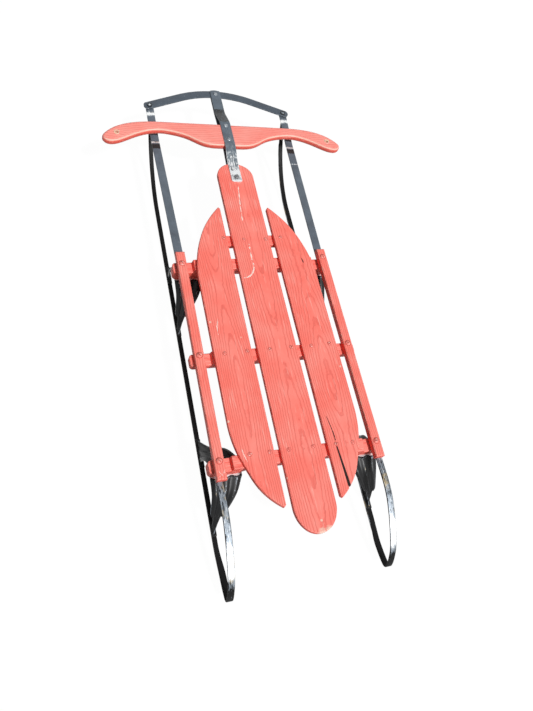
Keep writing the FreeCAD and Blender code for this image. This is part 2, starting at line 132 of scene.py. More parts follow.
def plate(inner, outer, wear):
    # sheet metal between two skins, closed round its four borders
    rows, cols = inner.shape[:2]
    count = rows * cols
    index = np.arange(count).reshape(rows, cols)
    faces = tiles(rows, cols, False)
    rims = [index[0], index[:, -1], index[-1, ::-1], index[::-1, 0]]
    borders = [np.stack([r[:-1] + count, r[1:] + count, r[1:], r[:-1]], -1) for r in rims]
    points = np.concatenate([inner.reshape(-1, 3), outer.reshape(-1, 3)])
    quads = outward(points, np.concatenate([faces, faces[:, ::-1] + count] + borders))
    return points, quads, np.tile(wear.ravel(), 2)


def addObject(name, data):
    thing = bpy.data.objects.new(name, data)
    bpy.context.scene.collection.objects.link(thing)
    return thing


def addPiece(name, skins, material, body=None, replaces=(), mirrored=False):
    # one object from several closed skins; a quad with a doubled corner becomes a triangle
    points, faces, wear, start = [], [], [], 0
    for p, q, w in skins:
        if mirrored:
            p = p * [-1, 1, 1]
            q = q[:, ::-1]
        points.append(p)
        wear.append(w)
        faces += [f[:3] if f[2] == f[3] else f[1:] if f[0] == f[1] else f for f in (q + start).tolist()]
        start += len(p)
    mesh = bpy.data.meshes.new(name)
    mesh.from_pydata(metres(np.concatenate(points)).tolist(), [], faces)
    worn = mesh.attributes.new("wear", "FLOAT", "POINT")
    worn.data.foreach_set("value", np.concatenate(wear).astype("f"))
    mesh.polygons.foreach_set("use_smooth", [True] * len(mesh.polygons))
    mesh.set_sharp_from_angle(angle=math.radians(35))
    mesh.materials.append(material)
    piece = addObject(name, mesh)
    if body:
        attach(piece, body)
    if replaces:
        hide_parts(*replaces)
    return piece


def smoothStep(x):
    # 0 below x = 0, 1 above x = 1, and x^2 (3 - 2x) between
    x = np.clip(x, 0, 1)
    return x * x * (3 - 2 * x)


def bell(x, at, wide):
    # 1 at x = at and 1/e at wide to either side
    return np.exp(-((x - at) / wide) ** 2)


def circle(count):
    # angles of count equal steps round a turn
    return np.linspace(0, 2 * math.pi, count, endpoint=False)


def barSection(width, thick, corner, around=3):
    # rounded rectangle, width across and thick along the normal, corners as quarter circles
    a = np.linspace(0, math.pi / 2, around + 1)
    arc = np.stack([np.cos(a), np.sin(a)], -1) * corner + [width / 2 - corner, thick / 2 - corner]
    return np.concatenate([arc, arc[::-1] * [-1, 1], -arc, arc[::-1] * [1, -1]])


def edgeShare(section, width, rub=1.4):
    # 1 at a flat bar's two edges, falling to 0 at rub mm in from them
    return smoothStep((np.abs(section[:, 0]) - width / 2 + rub) / rub)


def lengthAlong(points):
    # running sum of the distances between neighbours
    return np.append(0, np.cumsum(np.linalg.norm(np.diff(points, axis=0), axis=1)))


def tangents(path):
    # unit vectors along the path, from each point's two neighbours
    along = np.gradient(path, axis=0)
    return along / np.linalg.norm(along, axis=1)[:, None]


def resample(points, step):
    # points at equal steps along a polyline
    points = np.asarray(points, float)
    run = lengthAlong(points)
    at = np.linspace(0, run[-1], int(run[-1] / step) + 1)
    return np.stack([np.interp(at, run, column) for column in points.T], -1)


def soften(points, step, spread):
    # polyline whose corners are rounded by a bell-shaped average along its length
    fine = resample(points, step)
    reach = int(3 * spread / step)
    head = fine[0] + (fine[0] - fine[1]) * np.arange(reach, 0, -1)[:, None]
    tail = fine[-1] + (fine[-1] - fine[-2]) * np.arange(1, reach + 1)[:, None]
    padded = np.concatenate([head, fine, tail])
    weights = np.exp(-0.5 * (np.arange(-reach, reach + 1) * step / spread) ** 2)
    weights /= weights.sum()
    return np.stack([np.convolve(column, weights, "valid") for column in padded.T], -1)


def through(points, per):
    # Catmull-Rom curve through the points, per steps a span
    p = np.asarray(points, float)
    p = np.concatenate([[2 * p[0] - p[1]], p, [2 * p[-1] - p[-2]]])
    t = np.linspace(0, 1, per, endpoint=False)[None, :, None]
    a, b, c, d = p[:-3, None], p[1:-2, None], p[2:-1, None], p[3:, None]
    curve = b + 0.5 * t * (c - a + t * (2 * a - 5 * b + 4 * c - d + t * (3 * (b - c) + d - a)))
    return np.concatenate([curve.reshape(-1, p.shape[1]), p[-2:-1]])


def sweep(path, section, across=None, width=None):
    # P(s, t) = path(s) + across(s) * section x (t) * width(s) + normal(s) * section y (t)
    tangent = tangents(path)
    if across is None:
        across = np.cross(tangent, [0, 0, 1])
        across /= np.linalg.norm(across, axis=1)[:, None]
    across = np.broadcast_to(across, path.shape)
    normal = np.cross(across, tangent)
    stretch = np.ones(len(path)) if width is None else width
    return (path[:, None] + across[:, None] * section[None, :, :1] * stretch[:, None, None]
            + normal[:, None] * section[None, :, 1:])


def endWidths(path, radius, start=True):
    # share of the full width at distance d from a bar's ends, rounded in plan: sqrt(1 - (1 - d/r)^2)
    run = lengthAlong(path)
    away = run[-1] - run
    if start:
        away = np.minimum(away, run)
    return np.sqrt(1 - (1 - np.clip(away / radius, 0.002, 1)) ** 2)


def lathe(profile, x, y, z, around=32, flip=1):
    # profile rows (r, h) turned round an upright line: (x + r cos a, y + r sin a, z + flip * h)
    a = circle(around)
    r, h = np.asarray(profile, float).T[:, :, None]
    return xyz(x + r * np.cos(a), y + r * np.sin(a), z + flip * h)


def dome(radius, height, rim):
    # head profile from its foot up: a short wall, then an ellipse to the middle
    t = np.linspace(0, 0.97, 9) * math.pi / 2
    cap = np.stack([radius * np.cos(t), rim + (height - rim) * np.sin(t)], -1)
    return np.concatenate([[(radius * 0.97, -0.2), (radius, 0)], cap])


# Materials

def linear(hexColor):
    # sRGB hex to linear red, green, blue, alpha
    c = np.array([int(hexColor[n:n + 2], 16) for n in (1, 3, 5)]) / 255
    return tuple(np.where(c <= 0.04045, c / 12.92, ((c + 0.055) / 1.055) ** 2.4)) + (1.0,)


def addNode(tree, kind, inputs=(), **settings):
    # inputs are a dictionary by socket, or a row in the sockets' order; a socket among them is linked,
    # a node is linked by its first live output, and anything else is a value
    node = tree.nodes.new("ShaderNode" + kind)
    for name, value in settings.items():
        setattr(node, name, value)
    for key, value in inputs.items() if isinstance(inputs, dict) else enumerate(inputs):
        if isinstance(value, bpy.types.Node):
            value = next(out for out in value.outputs if out.enabled)
        if isinstance(value, bpy.types.NodeSocket):
            tree.links.new(value, node.inputs[key])
        else:
            node.inputs[key].default_value = value
    return node


def calc(tree, operation, *inputs, **settings):
    return addNode(tree, "Math", inputs, operation=operation, **settings)


def ramp(tree, *inputs, **settings):
    # value, start and stop: 0 to 1 between them, or from the fourth input to the fifth
    return addNode(tree, "MapRange", inputs, **settings)


def newMaterial(name):
    material = bpy.data.materials.new(name)
    material.use_nodes = True
    tree = material.node_tree
    tree.nodes.clear()
    return material, tree


def finish(tree, shader):
    addNode(tree, "OutputMaterial", {"Surface": shader})


# red oil paint, brushed on open-grained hardwood: the grain stands up through the film; sway is how
# often the pith wanders, in turns a metre across and along the grain, and swing how far, in metres
# edge is the deeper red mixed into faces that stand on edge: painted shade
redPaint = {"paint": "#FD796B", "edge": "#F6604F", "pool": "#D8564A", "thin": "#FFA79A",
            "bareWood": "#F2C9B6", "ringMm": 3.8, "fibreMm": 0.8, "reliefMm": 0.8, "roundMm": 2.8,
            "rough": 0.46, "sway": (1.2, 3.4), "swing": (0.02, 0.02, 0.045), "cloudsPerM": 14,
            "chipsPerM": 70, "chipAt": 0.067}


def paintedWood(name, top, along, heart, depth, seed, wear, rearWearAndHighlight, fade, spots):
    # along is the grain's axis; heart and depth, in mm, place the log's pith beside the board and below
    # its top; wear rubs every edge, and rearWearAndHighlight pales those that face the rider, wear there
    # along with a painted highlight
    material, tree = newMaterial(name)
    p = redPaint
    place = addNode(tree, "TexCoord").outputs["Object"]
    axis = "XY".index(along)
    beside = [0, 0, (depth - top) * 0.001]
    beside[1 - axis] = -heart * 0.001
    slow = [p["sway"][0]] * 3
    slow[axis] = p["sway"][1]
    log = addNode(tree, "Mapping", {"Vector": place, "Location": beside})
    drift = addNode(tree, "Mapping", {"Vector": place, "Scale": slow,
                                      "Location": (1.7 * seed, 2.3 * seed, seed)})
    # the pith wanders, so the rings surface as nested arches: pith = place + swing * (noise - 0.5)
    sway = addNode(tree, "TexNoise", {"Vector": drift, "Scale": 1, "Detail": 2.5, "Roughness": 0.34})
    swayed = addNode(tree, "VectorMath", (sway.outputs["Color"], (0.5, 0.5, 0.5)), operation="SUBTRACT")
    pith = addNode(tree, "VectorMath", (swayed, p["swing"], log), operation="MULTIPLY_ADD")
    # a ring wave repeats every 0.314 m at scale 1, so 0.314 over the ring width is its scale
    rings = addNode(tree, "TexWave", {"Vector": pith, "Scale": 314 / p["ringMm"], "Distortion": 2.0,
                                      "Detail": 3, "Detail Scale": 0.9},
                    wave_type="RINGS", rings_direction=along)
    late = ramp(tree, rings.outputs["Fac"], 0.3, 0.02, interpolation_type="SMOOTHSTEP")
    # the noise's fine detail is about a quarter of its period, and a fibre is 16 times as long as wide
    fine = [1000 / p["fibreMm"] / 4] * 3
    fine[axis] /= 16
    strands = addNode(tree, "Mapping", {"Vector": place, "Scale": fine})
    fibre = addNode(tree, "TexNoise", {"Vector": strands, "Scale": 1, "Detail": 3, "Roughness": 0.62})
    cloud = addNode(tree, "TexNoise", {"Vector": place, "Scale": p["cloudsPerM"], "Detail": 4})
    # the paint pales in random clouds; faces on edge are mixed towards the deeper red edge, painted shade
    # against the paler tops
    facing = addNode(tree, "SeparateXYZ", (addNode(tree, "NewGeometry").outputs["Normal"],))
    up = calc(tree, "ABSOLUTE", facing.outputs["Z"])
    side = calc(tree, "SUBTRACT", 1.0, up)
    sideShadeShare = ramp(tree, side, 0.3, 0.9)
    faded = ramp(tree, cloud, 0.38, 0.72, fade, fade + 0.45)
    # paint pools beside the raised rings and thins over the fibres
    streak = ramp(tree, fibre, 0.3, 0.62, 0.12 - 0.1 * fade, 0.68 - 0.55 * fade)
    line = calc(tree, "MULTIPLY", late, streak)
    fleck = ramp(tree, fibre, 0.58, 0.70, 0, 0.8)
    # wear shows where the top turns over a rounded edge, |nz|^3 (1 - |nz|), broken up by noise
    over = calc(tree, "POWER", up, 3.0)
    edge = calc(tree, "MULTIPLY", over, side)
    rub = addNode(tree, "TexNoise", {"Vector": place, "Scale": p["chipsPerM"], "Detail": 4, "Roughness": 0.7})
    # edges that face the rear take more of the pale bare-wood colour: wear, and a painted highlight as well
    back = calc(tree, "MULTIPLY", facing.outputs["Y"], -rearWearAndHighlight, use_clamp=True)
    rubbed = calc(tree, "ADD", rub, back)
    worn = calc(tree, "MULTIPLY", edge, rubbed)
    bared = p["chipAt"] - 0.022 * wear
    chip = ramp(tree, worn, bared, bared + 0.011, 0, 0.8)
    for x, y, radius in spots:  # paint knocked off in a patch: radius less than a noisy distance
        centre = metres([[x, y, top]])[0]
        away = addNode(tree, "VectorMath", (place, centre), operation="DISTANCE")
        ragged = calc(tree, "MULTIPLY_ADD", rub, radius * 0.002, away)
        bare = ramp(tree, ragged, radius * 0.0019, radius * 0.0015, 0, 0.9)
        chip = calc(tree, "MAXIMUM", chip, bare)
    colour = linear(p["paint"])
    for share, tone in ((faded, "thin"), (sideShadeShare, "edge"), (line, "pool"), (fleck, "thin"),
                        (chip, "bareWood")):
        colour = addNode(tree, "Mix", {0: share, 6: colour, 7: linear(p[tone])}, data_type="RGBA")
    relief = calc(tree, "MULTIPLY_ADD", late, -0.7, fibre)
    # a bevelled normal softens the sawn edges, which were rounded by hand and by many coats
    eased = addNode(tree, "Bevel", {"Radius": p["roundMm"] * 0.001}, samples=6)
    bump = addNode(tree, "Bump", {"Height": relief, "Strength": 0.7, "Distance": p["reliefMm"] * 0.001,
                                  "Normal": eased})
    sheen = ramp(tree, fibre, 0.3, 0.8, p["rough"], p["rough"] + 0.2)
    finish(tree, addNode(tree, "BsdfPrincipled", {"Base Color": colour, "Roughness": sheen, "Normal": bump}))
    return material


# level = streaks of -spread to spread, plus wear: the film gives way to dull steel, then to polished
# steel; a low level turns near black, which is painted shade on the pin heads' rings and the loops' edges,
# and the dark bands on the straps
filmLevels = {"spread": 0.45, "bare": (0.36, 0.5), "bright": (0.66, 0.86), "darkAndShade": (-0.3, -0.5),
              "darkAndShadeColor": "#0E0C0C"}


def enamelledSteel(name, paint, bare, bright, rough, streaks, rust, specular=0.5):
    # brushed or dipped enamel on rolled steel, worn where the wear attribute says and in drawn streaks; on
    # some pieces the same attribute carries painted shade and painted highlights
    material, tree = newMaterial(name)
    film = filmLevels
    place = addNode(tree, "TexCoord").outputs["Object"]
    wear = addNode(tree, "Attribute", attribute_name="wear")
    drawn = addNode(tree, "Mapping", {"Vector": place, "Scale": streaks})
    patches = addNode(tree, "TexNoise", {"Vector": drawn, "Scale": 1, "Detail": 5, "Roughness": 0.65})
    sags = addNode(tree, "TexNoise", {"Vector": place, "Scale": 40, "Detail": 4})
    spread = ramp(tree, patches, 0.25, 0.75, -film["spread"], film["spread"])
    level = calc(tree, "ADD", spread, wear.outputs["Fac"])
    tone = ramp(tree, sags, 0.3, 0.7, 0.78, 1.22)
    colour = addNode(tree, "VectorMath", {0: linear(paint)[:3], "Scale": tone}, operation="SCALE")
    rusty = ramp(tree, sags, 0.56, 0.68, 0, 0.85)
    metal = addNode(tree, "Mix", {0: rusty, 6: linear(bare), 7: linear(rust)}, data_type="RGBA")
    shares = []
    for state, over in (("bare", metal), ("bright", linear(bright)), ("darkAndShade", linear(film["darkAndShadeColor"]))):
        shares.append(ramp(tree, level, *film[state]))
        colour = addNode(tree, "Mix", {0: shares[-1], 6: colour, 7: over}, data_type="RGBA")
    shine = calc(tree, "MULTIPLY", shares[0], 0.7)
    dull = ramp(tree, patches, 0.3, 0.7, rough - 0.06, rough + 0.12)
    bump = addNode(tree, "Bump", {"Height": patches, "Strength": 0.3, "Distance": 0.0002})
    finish(tree, addNode(tree, "BsdfPrincipled", {"Base Color": colour, "Metallic": shine, "Roughness": dull,
                                                  "Specular IOR Level": specular, "Normal": bump}))
    return material


def mottled(name, color, tone, rough, metallic=0.0, scale=420, low=0.3, high=0.7):
    # two tones of one finish in cloudy patches: dulled plating, dry wood, paint half rubbed off a screw
    material, tree = newMaterial(name)
    place = addNode(tree, "TexCoord").outputs["Object"]
    cloud = addNode(tree, "TexNoise", {"Vector": place, "Scale": scale, "Detail": 4})
    share = ramp(tree, cloud, low, high)
    colour = addNode(tree, "Mix", {0: share, 6: linear(color), 7: linear(tone)}, data_type="RGBA")
    dull = ramp(tree, cloud, 0.3, 0.7, rough, rough + 0.2)
    finish(tree, addNode(tree, "BsdfPrincipled", {"Base Color": colour, "Metallic": metallic,
                                                  "Roughness": dull}))
    return material


# name, paint, dull steel, polished steel, roughness, streaks per metre, rust, specular level
blackEnamel = enamelledSteel("blackEnamelOnPressedSteel", "#0B0C0E", "#7F878F", "#DADCDD", 0.42,
                             (520, 70, 70), "#B39A63", 0.3)
runnerEnamel = enamelledSteel("blackEnamelOnRolledRunner", "#060607", "#7F878F", "#DADCDD", 0.5,
                              (520, 70, 70), "#B39A63", 0.15)
greyEnamel = enamelledSteel("blueGreyEnamelOnFlatSteel", "#545D67", "#8E969C", "#EDEFEF", 0.46,
                            (420, 80, 200), "#6B5A48")
bowEnamel = enamelledSteel("slateEnamelOnBumperBow", "#3F4954", "#8E969C", "#DDE0E2", 0.42,
                           (150, 420, 200), "#6B5A48")
darkEnamel = enamelledSteel("rubbedEnamelOnSteeringStrap", "#545F6A", "#727C84", "#E4E7E8", 0.36,
                            (420, 110, 200), "#23201E")
# name, two tones, roughness, metallic, patches per metre, and the noise over which the tones change
brass = mottled("dullBrassUnderOldPaint", "#E8A394", "#E6D2B0", 0.4, 0.25, 300, 0.42, 0.56)
zinc = mottled("zincPlatedSteel", "#9A9C9E", "#5E6063", 0.4, 0.9)
rivetSteel = mottled("rubbedRivetSteel", "#B4BBC1", "#3F474E", 0.26, 0.6, 500, 0.42, 0.6)
screwPaint = mottled("paintHalfRubbedOffScrewHeads", "#F07F73", "#F3C9BF", 0.42, 0.0, 320, 0.54, 0.66)
# a dark red ring round each head, painted shade of the countersink
socketShade = mottled("countersinkShadeRing", "#B24A40", "#D9655A", 0.7)
slotDarkening = mottled("darkInScrewSlots", "#6A2A22", "#D9655A", 0.8, 0.0, 60, 0.45, 0.55)
bareWood = mottled("bareScratchedWood", "#F6E4DA", "#F3B4A6", 0.8, 0.0, 300, 0.5, 0.7)
crackDark = mottled("darkOfTheSplit", "#160C0A", "#2B1714", 0.9)
print("materials made")


# Wooden nodes keep their shape and get painted wood; each has its own log, so no two match:
# grain axis, pith beside and below in mm, seed, edge wear, more on the rear edges (wear and a painted
# highlight), how far the paint has faded, and patches knocked bare (x, station, radius)
woodNodes = {
    "deck_board_center": ("Y", 6, 20, 1.0, 0.5, 0, 0,
                          [(2, -382, 15), (17, -377, 12), (5, -356, 3), (-16, 256, 3.5), (-43, -271, 4)]),
    "deck_board_left": ("Y", -92, 14, 2.0, 0.7, 0, 0, [(-128, 60, 3), (-131, -150, 3.5), (-71, 22, 2.5)]),
    "deck_board_right": ("Y", 97, 24, 3.0, 0.5, 0, 0, [(127, -60, 3)]),
    "side_rail_left": ("Y", -120, 30, 4.0, 0.6, 0, 0.05, [(-159, 205, 2.5)]),
    "side_rail_right": ("Y", 195, 26, 5.0, 0.9, 0, 0.05, []),
    "bench_front": ("X", 190, 60, 6.0, 0.5, 0, 0.05, []),
    "bench_middle": ("X", -20, 40, 7.0, 0.5, 0, 0.05, []),
    "bench_rear": ("X", -240, 60, 8.0, 0.5, 0.2, 0.05, []),
    "deck_cleat_front": ("X", 250, 40, 9.0, 0.5, 0, 0, []),
    "handlebar": ("X", 470, 90, 10.0, 0.2, 0.58, 0.42, [])}

for name, node in nodes.items():
    if name in woodNodes:
        along, heart, *marks = woodNodes[name]
        heart -= middle if along == "X" else 0
        coat = paintedWood("redPaintedWood_" + name, boxMm(name)[1][2], along, heart, *marks)
    else:
        coat = blackEnamel if "runner" in name or "knee" in name else greyEnamel
    node.data.materials.clear()
    node.data.materials.append(coat)
print("wood painted")


# Runners: T bar from the rear loop to the bumper's end, one springy piece; webEnd is the share of the
# upward arc that the web follows
runnerSizes = {"soleW": 4, "flangeW": 10, "flangeT": 3, "webH": 10, "corner": 0.9, "noseRise": 206,
               "noseBend": 15, "webEnd": 0.83, "tipPast": 7, "loopW": 13, "loopX": 164, "loopLap": 34,
               "loopLength": 198, "teePastRail": 116, "webTail": 38, "webNose": 14, "flexFrom": 287,
               "flexTo": 400, "tipFlat": 9.3}
# loop rows: shares of its length behind the rail's end and of its height above the sole's flange
loopShape = [(0.146, 1.011), (0.283, 1.009), (0.399, 0.976), (0.505, 0.915), (0.616, 0.832),
             (0.758, 0.697), (0.864, 0.567), (0.944, 0.404), (0.987, 0.279), (1, 0.195),
             (0.98, 0.125), (0.919, 0.079), (0.828, 0.042), (0.717, 0.012)]
# the loop's return strap is bare from bareZ up, polished and then dull again in steps (change, from
# and over which shares of the loop's length); the polished stretch is worn steel and also a painted
# highlight, and loopEdgeShade darkens the loop's edges, painted shade; the sole's flange is only worn at its
# edges
runnerWear = {"bareZ": 24, "bareRise": 30, "bare": 0.64, "steps": [(0.4, 0.5, 0.15), (-0.8, 0.78, 0.17)],
              "edgeRub": 1.2, "edge": 0.06, "loopEdgeShade": 0.7, "sole": 0.6}
flangeTop = runnerSizes["webH"] + runnerSizes["flangeT"]


def arcPoints(cy, cz, r, start, stop, count):
    # (cy + r cos a, cz + r sin a) in (station, z)
    a = np.linspace(start, stop, count)
    return np.stack([cy + r * np.cos(a), cz + r * np.sin(a)], -1)


def runnerLine():
    # outer side of the flange in (station, z): rail end, loop, sole, one upward arc, flat tip;
    # then the web's line under it, and the station where the T bar starts
    s = runnerSizes
    railEnd, railUnder = railLow[1:]
    flatY = pinY - s["tipFlat"]
    tipZ = runnerHigh[2]
    riseY = flatY - s["noseRise"]
    dz = tipZ - flangeTop
    bothR = (s["noseRise"] ** 2 + dz ** 2) / (2 * dz)  # the big arc's radius and the tip's bend together
    turn = math.asin(s["noseRise"] / bothR)
    r = bothR - s["noseBend"]
    height = railUnder - s["webH"]
    teeRear = railEnd - s["teePastRail"]
    loop = [(railEnd + 3, railUnder), (railEnd, railUnder)]
    loop += [(railEnd - s["loopLength"] * a, s["webH"] + height * b) for a, b in loopShape]
    loop += [(teeRear, s["webH"]), (teeRear + 12, s["webH"])]
    low = -math.pi / 2
    rise = riseY, flangeTop + r, r + s["flangeT"], low
    bend = arcPoints(flatY, tipZ - s["noseBend"], s["noseBend"] - s["flangeT"], math.pi / 2 + turn,
                     math.pi / 2, 10)
    line = np.concatenate([[(railEnd + s["loopLap"], railUnder)], through(loop, 12), [(riseY, s["webH"])],
                           arcPoints(*rise, low + turn, 60)[1:], bend[1:],
                           [(pinY + s["tipPast"], tipZ - s["flangeT"])]])
    web = np.concatenate([[(teeRear - s["webTail"], s["webH"]), (riseY, s["webH"])],
                          arcPoints(*rise, low + turn * s["webEnd"], 40)[1:]])
    return resample(line, 2.5), resample(web, 3), teeRear


def runnerSkins():
    # flange: a rounded bar swept along the line; web: a narrow one hung under it
    s, w = runnerSizes, runnerWear
    line, web, teeRear = runnerLine()
    run = lengthAlong(line)
    meets = np.argmax((line[:, 1] < s["webH"] + 2) & (line[:, 0] >= teeRear))  # loop's row at the T bar
    onLoop = 1 - smoothStep((run - run[meets] + 40) / 60)
    x = runnerX + (s["loopX"] - runnerX) * onLoop
    path = xyz(x, *line.T)
    section = barSection(s["flangeW"], s["flangeT"], s["corner"]) + [0, s["flangeT"] / 2]
    wide = 1 + (s["loopW"] / s["flangeW"] - 1) * onLoop
    grid = sweep(path, section, np.array([1.0, 0, 0]), wide)
    back = smoothStep((line[:, 1] - w["bareZ"]) / w["bareRise"]) * onLoop
    fromRail = (railLow[1] - line[:, 0]) / s["loopLength"]
    # the loop's polished middle is also a painted highlight, and its darkened edges below are painted shade
    bright = w["bare"] + sum(step * smoothStep((fromRail - at) / over) for step, at, over in w["steps"])
    edge = edgeShare(section, s["flangeW"], w["edgeRub"])
    wear = (back * bright)[:, None] + edge * (w["edge"] - w["loopEdgeShade"] * back[:, None])
    # the web's depth tapers to almost nothing at both ends
    runWeb = lengthAlong(web)
    deep = smoothStep(runWeb / s["webTail"]) * smoothStep((runWeb[-1] - runWeb) / s["webNose"])
    sole = barSection(s["soleW"], 1, 0.4)
    low = -s["webH"] * (0.04 + 0.96 * deep[:, None]) + 0.4 * (0.5 + sole[:, 1])
    drop = np.where(sole[:, 1] > 0, 0.3, low)
    tangent = tangents(web)
    y = web[:, None, 0] - tangent[:, None, 1] * drop
    z = web[:, None, 1] + tangent[:, None, 0] * drop
    webWear = np.where(drop < -0.6 * s["webH"], w["sole"], 0.0)
    return [tube(grid, wear), tube(xyz(runnerX + sole[:, 0], y, z), webWear)]


def addFrontBar(name, skins, material, side, sign, replaces):
    # one bar in place of two nodes
    piece = addPiece(name + side, skins, material, mirrored=sign < 0, replaces=[n + side for n in replaces])
    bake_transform(piece)


for side, sign in sides:
    addFrontBar("runnerBar_", runnerSkins(), runnerEnamel, side, sign,
                ["runner_", "nose_runner_"])
print("runners made")


# Front straps: flat steel from under the rail to the bumper's end
strapSizes = {"w": 18.5, "t": 3, "corner": 0.8, "lap": 36, "bendBack": 85, "bendDrop": 4.6,
              "tipFlat": 9.3, "tipPast": 7, "bendSoft": 5, "flexFrom": 250, "flexTo": 400}
# rubbed bright by the bumper's end and by the steering bar, and one scratch across the right strap
# (wear, station, half width); rust is how far the wear drops in a darker band just behind the bar
strapWear = {"rubs": [(1.05, 622, 5.5), (1.05, 542, 3)], "scratch": (0.8, 490, 1.6), "rust": 1.1,
             "darkBandFrom": 520, "darkBandTo": 539, "edge": 0.22}


def strapSkins(scratched):
    # a rounded bar swept along a softened line: under the rail, out over the runner, onto the pin
    s, w = strapSizes, strapWear
    under = railLow[2] - s["t"] / 2
    flatY = pinY - s["tipFlat"]
    tipZ = runnerHigh[2] + s["t"] / 2
    corners = [(railX, railHigh[1] - s["lap"], under), (railX, railHigh[1], under),
               (runnerX, flatY - s["bendBack"], railLow[2] - s["bendDrop"] + s["t"] / 2),
               (pinX, flatY, tipZ), (pinX, pinY + s["tipPast"], tipZ)]
    path = soften(corners, 2.5, s["bendSoft"])
    section = barSection(s["w"], s["t"], s["corner"])
    along = path[:, 1]
    rubs = w["rubs"] + [w["scratch"]] * scratched
    wear = sum(worn * bell(along, at, wide) for worn, at, wide in rubs)
    wear -= w["rust"] * smoothStep((w["darkBandTo"] - along) / 4) * smoothStep((along - w["darkBandFrom"]) / 8)
    edge = w["edge"] * edgeShare(section, s["w"])
    return [tube(sweep(path, section, width=endWidths(path, 3)), edge + wear[:, None])]


for side, sign in sides:
    addFrontBar("frontStrap_", strapSkins(sign > 0), greyEnamel, side, sign,
                ["strap_tail_", "nose_strap_"])
print("front straps made")


# Knees: fluted saddles of pressed steel, riveted to the runner's flange; fore and aft are how far the
# two edges of a leg reach along the runner
kneeSizes = {"w": 62, "past": 5, "t": 1.8, "flutes": 3, "deep": 4.5, "footW": 11, "lead": 14,
             "footPast": 4, "fore": {"front": (24, 52), "rear": (24, 70)}, "aft": (80, 93),
             "rivetR": 2.1, "rivetH": 1.3, "rivetIn": 2.2, "rivetsAt": (0.12, 0.88)}
# wear on the flutes' crests, the rim under the saddle and the legs' edges, their widths as shares of
# the leg, and chips along the bench's faces
kneeWear = {"crest": 0.27, "rim": 0.28, "rimTo": 0.014, "edge": 0.49, "edgeIn": 0.012, "chipped": 1.1}

# rows of a leg, as shares: drop, then how far its outer and inner edges have come in to the runner,
# then their reach towards the two ends of the foot, then the depth of the flutes
foreRows = [(0, 0, 0, 0, 0, 0.35), (0.2, 0, 0.29, 0.38, 0.38, 1), (0.5, 0.2, 0.73, 0.67, 0.59, 0.67),
            (1, 1, 1, 1, 1, 0.13)]
aftRows = [(0, 0, 0, 0, 0, 1), (0.2, 0.2, 0.25, 0.38, 0.35, 1), (0.54, -0.1, 0.62, 0.73, 0.63, 0.8),
           (0.62, 0.5, 0.78, 0.79, 0.69, 0.45), (1, 1, 1, 1, 1, 0.13)]
kneeOut = benchFront[1][0] - kneeSizes["past"]
kneeAcross = np.linspace(0, 1, 97)  # shares of the plate's width


def flute(u):
    # share of the flutes' depth at share u of the plate's width
    return (1 - np.cos(2 * math.pi * kneeSizes["flutes"] * u)) / 2


def kneeLeg(rows, yEdge, foot, zTop, out):
    # the rows give two edge curves a(v), b(v); the plate is a + (b - a) u + normal * (flutes + k)
    s, w, u = kneeSizes, kneeWear, kneeAcross
    drop, aIn, bIn, aReach, bReach, deep = through(rows, 12).T[:, :, None]
    z = zTop - (zTop - flangeTop - 0.3) * drop
    aX = kneeOut + (runnerX - kneeOut) * aIn
    bX = kneeOut - s["w"] + (runnerX - kneeOut + s["w"]) * bIn
    aY = yEdge + out * foot[0] * aReach
    bY = yEdge + out * foot[1] * bReach
    across = np.hypot(bX - aX, bY - aY)
    nX = out * (bY - aY) / across
    nY = out * (aX - bX) / across
    fall = (zTop - flangeTop) * np.gradient(drop, axis=0)
    level = s["t"] * np.hypot(foot[0] * np.gradient(aReach, axis=0), fall) / fall
    skins = []
    for k in (0, level):
        d = s["deep"] * deep * flute(u) + k
        skins.append(xyz(aX + (bX - aX) * u + nX * d, aY + (bY - aY) * u + nY * d, z))
    worn = (w["crest"] * (flute(u) * deep) ** 12 + w["rim"] * smoothStep((w["rimTo"] - drop) / w["rimTo"])
            + w["edge"] * smoothStep((np.abs(u - 0.5) - (0.5 - w["edgeIn"])) / w["edgeIn"]))
    return plate(*skins, np.clip(worn, 0, 1))


def saddlePlate(yFront, z):
    # y = front face + k * reach, k from 1 at the fluted rim to 0 at the bench, then the same behind it;
    # the enamel is chipped along the bench's faces
    s, u = kneeSizes, kneeAcross
    k = np.array([1, 0.75, 0.55, 0.2, 0])[:, None]
    fore, aft = (s["deep"] * rows[0][-1] * flute(u) + s["t"] for rows in (foreRows, aftRows))
    y = np.concatenate([yFront + fore * k, yFront - benchDepth - aft * k[::-1]])
    skins = [xyz(kneeOut - s["w"] * u, y, h) for h in (z - s["t"], z)]
    return plate(*skins, kneeWear["chipped"] * (np.concatenate([k, k[::-1]]) < 0.6) + 0 * u)


def kneeSkins(yFront, z, fore):
    # saddle and two legs, then a foot plate with two rivets under each leg
    s = kneeSizes
    yRear = yFront - benchDepth
    aft = s["aft"]
    skins = [saddlePlate(yFront, z), kneeLeg(foreRows, yFront, fore, z - 0.3, 1),
             kneeLeg(aftRows, yRear, aft, z - 0.3, -1)]
    footZ = flangeTop + s["t"] / 2
    for start, stop in ((yFront + fore[0] - s["lead"], yFront + fore[1] + s["footPast"]),
                        (yRear - aft[0] + s["lead"], yRear - aft[1] - s["footPast"])):
        line = np.linspace((runnerX, start, footZ), (runnerX, stop, footZ), 24)
        foot = barSection(s["footW"], s["t"], 0.6)
        skins.append(tube(sweep(line, foot, width=endWidths(line, 2.5))))
        for share in s["rivetsAt"]:
            head = dome(s["rivetR"], s["rivetH"], 0.3)
            skins.append(tube(lathe(head, runnerX - s["rivetIn"], start + (stop - start) * share,
                                    flangeTop + s["t"], 16)))
    return skins


